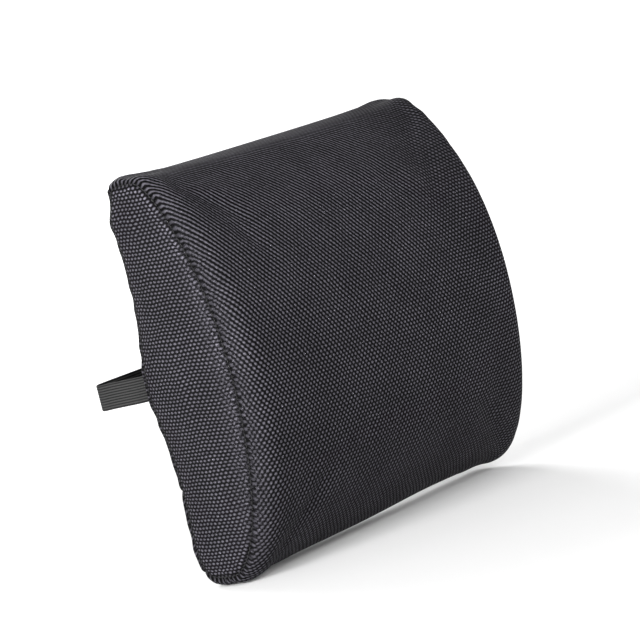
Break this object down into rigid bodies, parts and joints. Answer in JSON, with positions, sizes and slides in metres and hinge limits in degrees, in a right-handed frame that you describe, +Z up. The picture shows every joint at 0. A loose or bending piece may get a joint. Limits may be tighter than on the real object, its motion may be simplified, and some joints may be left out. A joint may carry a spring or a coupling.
{
  "type": "lumbar support cushion",
  "caption": "D-shaped foam back cushion in a zipped black mesh cover, with an elastic strap and side-release buckle that hold it against a chair back.",
  "frame": {"origin": "middle of the flat rear face, at the height of the strap, where the chair back bears", "axes": "+Z up, +Y to the rear towards the chair back, so the front bulges to -Y, +X across the width to the sitter's left side"},
  "size_m": [0.3682, 0.1535, 0.31],
  "materials": {
    "cover_mesh": "3-D air mesh knit, charcoal black",
    "seam_thread": "polyester sewing thread",
    "liner_knit": "thin white knit",
    "foam": "open-cell polyurethane foam",
    "zip_tape": "woven polyester tape",
    "zip_coil": "nylon coil",
    "zip_metal": "black enamel on zinc",
    "strap_elastic": "ribbed knitted elastic, dark grey",
    "buckle_plastic": "moulded acetal, fine grain",
    "label_satin": "white satin ribbon, blank"
  },
  "bodies": {
    "cushion": {"foam_core": "foam", "inner_liner": "liner_knit", "cover_front_panel": "cover_mesh", "cover_side_panel_left": "cover_mesh", "cover_side_panel_right": "cover_mesh", "cover_rear_panel_upper": "cover_mesh", "cover_rear_panel_lower": "cover_mesh", "seam_thread_left": "seam_thread", "seam_thread_right": "seam_thread", "seam_thread_top": "seam_thread", "seam_thread_bottom": "seam_thread", "zipper_tape_upper": "zip_tape", "zipper_tape_lower": "zip_tape", "zipper_coil_upper": "zip_coil", "zipper_coil_lower": "zip_coil", "zipper_stop_closed_end": "zip_metal", "zipper_stop_open_end": "zip_metal", "strap_left": "strap_elastic", "strap_right": "strap_elastic", "buckle_socket": "buckle_plastic", "care_label": "label_satin"},
    "zip_slider": {"zipper_slider": "zip_metal"},
    "zip_pull": {"zipper_pull_tab": "zip_metal"},
    "plug": {"buckle_plug": "buckle_plastic"},
    "latch_upper": {"buckle_arm_upper": "buckle_plastic"},
    "latch_lower": {"buckle_arm_lower": "buckle_plastic"},
    "keeper": {"strap_keeper": "buckle_plastic"}
  },
  "joints": [
    {"name": "zip_slide", "type": "slide", "parent": "cushion", "child": "zip_slider", "axis": [-1, 0, 0], "range_m": [0, 0.27]},
    {"name": "pull_tab_swing", "type": "hinge", "parent": "zip_slider", "child": "zip_pull", "pos_m": [0.135, 0.0022, -0.082], "axis": [0, 0, -1], "range_deg": [0, 175]},
    {"name": "buckle_release", "type": "slide", "parent": "cushion", "child": "plug", "axis": [1, 0, 0], "range_m": [0, 0.026], "deforming": ["strap_right"]},
    {"name": "latch_squeeze_upper", "type": "hinge", "parent": "plug", "child": "latch_upper", "pos_m": [0.0024, 0.042, 0.0087], "axis": [0, -1, 0], "range_deg": [0, 10], "stiffness_Nm_per_rad": 0.004},
    {"name": "latch_squeeze_lower", "type": "hinge", "parent": "plug", "child": "latch_lower", "pos_m": [0.0024, 0.042, -0.0087], "axis": [0, 1, 0], "range_deg": [0, 10], "stiffness_Nm_per_rad": 0.004},
    {"name": "keeper_slide", "type": "slide", "parent": "cushion", "child": "keeper", "axis": [1, 0, 0], "range_m": [-0.02, 0.03]}
  ],
  "couplings": [
    {"joint": "latch_squeeze_lower", "follows": "latch_squeeze_upper", "ratio": 1}
  ]
}
